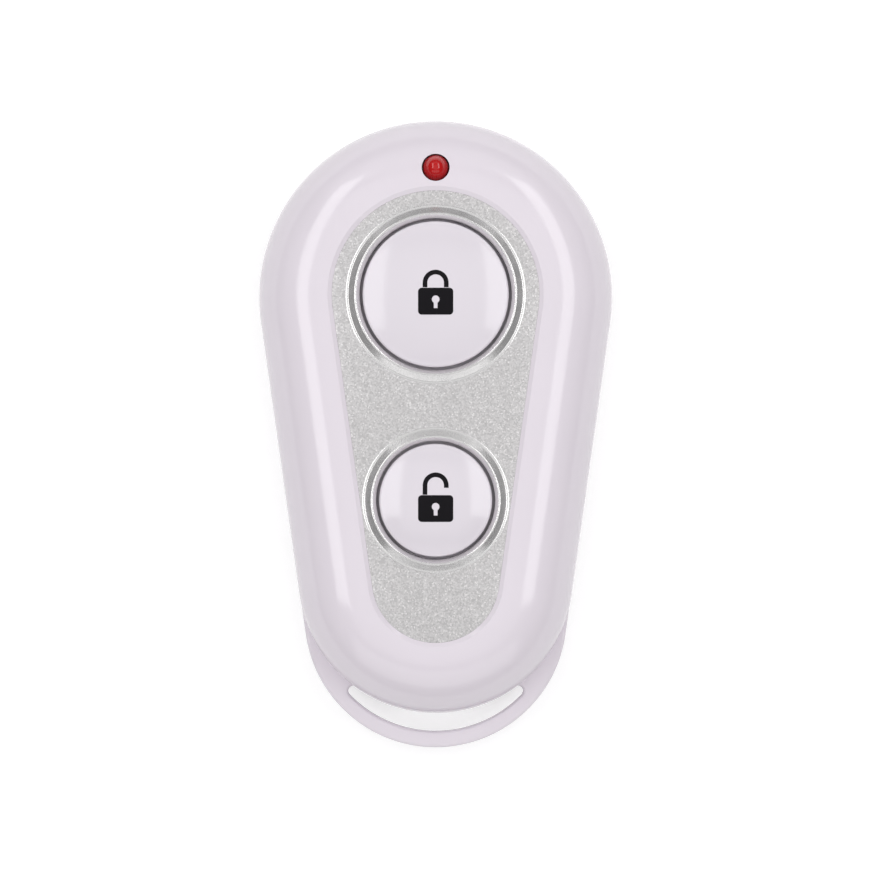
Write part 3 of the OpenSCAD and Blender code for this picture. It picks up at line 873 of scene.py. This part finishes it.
arm_r = 7.95
arm_crown = 1.5
clear_r = 6.15
clear_crown = 1.35
cap_wall = 1.0
cap_edge = 12.6
cap_ceiling = 12.0
cap_round = 0.3
stem_r = 1.5
stem_foot = 11.0
flange_low = 9.35
flange_high = 10.25
flange_width = 1.2
flat_depth = 0.72
ink_room = 0.03
ink_proud = 0.015
ink_sunk = 0.03
ink_cell = 0.45
ink_cells = 8
cap_steps = 80
crown_steps = 24
edge_steps = 5
white_button = skinned(
    "white_button",
    moulded,
    {
        "Color": (0.76, 0.714, 0.77, 1),
        "Roughness": 0.14,
        "Tone Drift": 0.02,
        "Gloss Drift": 0.05,
        "Skin Size": 0.8 * mm,
    },
    relief=0.002,
    IOR=1.5,
)
dark_ink = plastic("dark_ink", (0.007, 0.006, 0.008), 0.5, 0.12, 0.003, ior=1.2)


def dome_height(cap_r, crown, reach):
    """Height of a cap's dome, part of a sphere, at a distance from its axis."""
    sphere = (cap_r**2 + crown**2) / (2 * crown)
    return cap_edge + crown - ink_room - sphere + math.sqrt(sphere**2 - reach**2)


def button_cap(name, cap_r, crown, y):
    """Cap of a button, with flats on both sides of its flange."""
    inside = cap_r - cap_wall
    shoulder = cap_r - cap_round
    profile = [(0, stem_foot), (stem_r, stem_foot), (stem_r, cap_ceiling), (inside, cap_ceiling)]
    profile += [(inside, flange_low), (cap_r + flange_width, flange_low), (cap_r + flange_width, flange_high)]
    profile += [(cap_r, flange_high)]
    edge_end = (shoulder, dome_height(cap_r, crown, shoulder))
    profile += quarter((cap_r, cap_edge - cap_round), edge_end, edge_steps, "up")
    for i in range(1, crown_steps + 1):
        r = shoulder * (1 - i / crown_steps)
        profile.append((r, dome_height(cap_r, crown, r)))
    shape = gather([white_button], turned(profile, white_button, 0, y, cap_steps))
    flat_x = (cap_r + flange_width - flat_depth) * mm
    for v in shape.verts:
        v.co.x = max(-flat_x, min(flat_x, v.co.x))
    body = name.removesuffix("_cap")
    return fitted(shown(name, shape, white_button), body, "white_button", body)


def printed(name, outlines, cap_r, crown, y, body):
    """Ink on a cap: closed outlines filled in, cut into small cells and laid on the dome as a thin film."""
    shape = bmesh.new()
    for outline in outlines:
        points = [shape.verts.new((px * mm, py * mm, 0)) for px, py in outline]
        for a, b in zip(points, points[1:] + points[:1]):
            shape.edges.new((a, b))
    close_flat(shape, 0, 1)
    for axis in ((1, 0, 0), (0, 1, 0)):
        for i in range(-ink_cells, ink_cells + 1):
            whole = shape.verts[:] + shape.edges[:] + shape.faces[:]
            cut = Vector(axis) * i * ink_cell * mm
            bmesh.ops.bisect_plane(shape, geom=whole, plane_co=cut, plane_no=axis)
    for v in shape.verts:
        reach = math.hypot(v.co.x, v.co.y) / mm
        v.co = (v.co.x, v.co.y + y * mm, (dome_height(cap_r, crown, reach) + ink_proud) * mm)
    film = bmesh.ops.extrude_face_region(shape, geom=shape.faces[:], use_keep_orig=True)
    for v in film["geom"]:
        if isinstance(v, bmesh.types.BMVert):
            v.co.z -= (ink_proud + ink_sunk) * mm
    bmesh.ops.recalc_face_normals(shape, faces=shape.faces)
    return fitted(shown(name, shape, dark_ink), body, "black_plastic")


def padlock(lift, open_leg):
    """Outlines of a padlock's body, its keyhole and its shackle, lifted out of the body when it is open."""
    wide = 1.9
    low = -2.3
    high = 0.6
    corner_r = 0.4
    keyhole_y = -0.65
    keyhole_r = 0.42
    keyhole_half = 0.2
    keyhole_low = -1.6
    outer_r = 1.4
    inner_r = 0.9
    gap = 0.05
    leg = 0.55
    body = []
    for cx, cy, start in ((wide, low, -90), (wide, high, 0), (-wide, high, 90), (-wide, low, 180)):
        centre = (cx - math.copysign(corner_r, cx), cy + (corner_r if cy == low else -corner_r))
        body += arc(centre, corner_r, math.radians(start), math.radians(start + 90), 5)
    keyhole = arc((0, keyhole_y), keyhole_r, math.radians(-60), math.radians(240), 16)
    keyhole += [(-keyhole_half, keyhole_low), (keyhole_half, keyhole_low)]
    spring = high + leg + lift
    foot = high + gap
    free_foot = foot + open_leg
    shackle = [(outer_r, free_foot)] + arc((0, spring), outer_r, 0, math.pi, 20) + [(-outer_r, foot)]
    shackle += [(-inner_r, foot)] + arc((0, spring), inner_r, math.pi, 0, 20) + [(inner_r, free_foot)]
    return [body, keyhole, shackle]


button_cap("arm_button_cap", arm_r, arm_crown, arm_y)
button_cap("clear_button_cap", clear_r, clear_crown, clear_y)
printed("closed_padlock", padlock(0, 0), arm_r, arm_crown, arm_y, "arm_button")
printed("open_padlock", padlock(0.5, 0.75), clear_r, clear_crown, clear_y, "clear_button")


# Case screw: one plated self-tapping screw with a cross recess, driven from the rear through the tray's
# post into the front cover's boss.

screw_sink = 1.0
screw_head_r = 1.9
screw_head_round = 0.3
screw_shank_r = 1.0
screw_tip = 8.5
thread_depth = 0.16
thread_pitch = 0.7
cross_length = 2.28
cross_width = 0.6
cross_depth = 0.8
cross_taper = 0.7
cut_over = 0.5
screw_steps = 32
thread_gap = 0.3
thread_rise = 0.35
thread_run = 0.6
tip_r = 0.25
tip_point = 0.05

head_rim = (screw_head_r, screw_sink + screw_head_round)
thread_root_r = screw_shank_r - thread_depth
screw_profile = [(0, screw_sink)]
screw_profile += quarter((screw_head_r - screw_head_round, screw_sink), head_rim, 5, "out")
screw_profile += [(screw_head_r, screw_seat), (thread_root_r, screw_seat)]
thread_turns = int((screw_tip - screw_shank_r - screw_seat) / thread_pitch)
for i in range(thread_turns):
    thread_z = screw_seat + thread_pitch * (i + thread_gap)
    screw_profile += [
        (thread_root_r, thread_z),
        (screw_shank_r, thread_z + thread_pitch * thread_rise),
        (thread_root_r, thread_z + thread_pitch * thread_run),
    ]
screw_profile += [(tip_r, screw_tip - tip_point), (0, screw_tip)]
screw_shape = gather([bright_tin], turned(screw_profile, bright_tin, 0, screw_y, screw_steps))
screw = shown("case_screw_body", screw_shape, bright_tin)
for across, along in ((cross_length, cross_width), (cross_width, cross_length)):
    corners = [(sx * across / 2, sy * along / 2) for sx, sy in ((-1, -1), (1, -1), (1, 1), (-1, 1))]
    mouth = [(px, py + screw_y) for px, py in corners]
    end = [(px * cross_taper, py * cross_taper + screw_y) for px, py in corners]
    recess = lofted([(mouth, screw_sink - cut_over), (mouth, screw_sink), (end, screw_sink + cross_depth)])
    screw = worked(screw, shown("cross", recess, bright_tin), "DIFFERENCE")
fitted(screw, "case", "bright_metal", "case_screw")


# Studio: a white sheet under the fob, a wide soft light overhead, tall softboxes on both sides set a little
# towards the lamp end, white cards at both ends, and the photograph's camera straight above. The sheet is
# clear from behind and where the fob rests on it, for views of the back.

sheet_r = 1.5
sheet_steps = 64
sheet_drop = 0.02
contact_reach = 0.5
sheet_tone = 0.72
sheet_lift = 0.44
sky_tone = 0.23
softbox_reach = 0.5
softbox_angle = math.radians(40)
softbox_y = 0.18
softbox_size = (0.16, 0.63)
softbox_glow = 3.2
top_light_y = 0.0
top_light_z = 0.7
top_light_size = (0.9, 0.9)
top_light_glow = 0.54
card_reach = 0.7
card_angle = math.radians(56)
card_size = (1.2, 0.35)
head_card_glow = 0.55
tail_card_glow = 0.95
camera_x = -0.07
camera_z = 258.5
camera_lens = 93.7
camera_sensor = 36.0
camera_near = 0.01


def seen_straight(tree):
    """Mask of the rays that show the backdrop itself: camera rays, mirror rays and rays through glass."""
    path = put(tree, "ShaderNodeLightPath").outputs
    mirrored = maths(tree, "MAXIMUM", path["Is Glossy Ray"], path["Is Transmission Ray"])
    return maths(tree, "MAXIMUM", path["Is Camera Ray"], mirrored)


def white_sheet():
    """Material of the sheet: matte white that takes shadows, lifted to white where it is seen straight."""
    material = bpy.data.materials.new("white_sheet")
    material.use_nodes = True
    tree = material.node_tree
    tree.nodes.clear()
    matte = put(tree, "ShaderNodeBsdfDiffuse", {"Color": (sheet_tone, sheet_tone, sheet_tone, 1)})
    glow = maths(tree, "MULTIPLY", seen_straight(tree), sheet_lift)
    lift = put(tree, "ShaderNodeEmission", {"Strength": glow})
    lit = put(tree, "ShaderNodeAddShader", {0: matte.outputs[0], 1: lift.outputs[0]})
    behind = put(tree, "ShaderNodeNewGeometry").outputs["Backfacing"]
    reach = put(tree, "ShaderNodeLightPath").outputs["Ray Length"]
    open_here = maths(tree, "MAXIMUM", behind, maths(tree, "LESS_THAN", reach, contact_reach * mm))
    clear = put(tree, "ShaderNodeBsdfTransparent")
    both = put(tree, "ShaderNodeMixShader", {0: open_here, 1: lit.outputs[0], 2: clear.outputs[0]})
    feed(tree, put(tree, "ShaderNodeOutputMaterial").inputs["Surface"], both.outputs[0])
    return material


sheet_shape = bmesh.new()
sheet_rim = arc((0, 0), sheet_r, 0, math.tau, sheet_steps)[:-1]
sheet_shape.faces.new([sheet_shape.verts.new((x, y, -sheet_drop * mm)) for x, y in sheet_rim])
shown("white_sheet", sheet_shape, white_sheet())

sky = bpy.data.worlds.new("sky")
sky.use_nodes = True
bpy.context.scene.world = sky
background = sky.node_tree.nodes["Background"]
background.inputs["Color"].default_value = (1, 1, 1, 1)
looked_at = put(sky.node_tree, "ShaderNodeLightPath").outputs["Is Camera Ray"]
feed(sky.node_tree, background.inputs["Strength"], maths(sky.node_tree, "MAXIMUM", looked_at, sky_tone))


def panel_light(name, size, glow, place, turn):
    """Flat light of an even glow, turned from looking straight down."""
    light = bpy.data.lights.new(name, "AREA")
    light.shape = "RECTANGLE"
    light.size, light.size_y = size
    light.energy = glow * math.pi * size[0] * size[1]
    holder = bpy.data.objects.new(name, light)
    holder.location = place
    holder.rotation_euler = turn
    bpy.context.scene.collection.objects.link(holder)


for side in (-1, 1):
    out = side * softbox_reach * math.sin(softbox_angle)
    place = (out, softbox_y, softbox_reach * math.cos(softbox_angle))
    panel_light("softbox", softbox_size, softbox_glow, place, (0, side * softbox_angle, 0))
panel_light("top_light", top_light_size, top_light_glow, (0, top_light_y, top_light_z), (0, 0, 0))
for end, glow in ((1, head_card_glow), (-1, tail_card_glow)):
    place = (0, end * card_reach * math.sin(card_angle), card_reach * math.cos(card_angle))
    panel_light("white_card", card_size, glow, place, (-end * card_angle, 0, 0))

lens = bpy.data.cameras.new("camera")
lens.lens = camera_lens
lens.sensor_width = camera_sensor
lens.clip_start = camera_near
camera = bpy.data.objects.new("camera", lens)
camera.location = (camera_x * mm, 0, camera_z * mm)
bpy.context.scene.collection.objects.link(camera)
bpy.context.scene.camera = camera
bpy.context.scene.view_settings.view_transform = "Standard"
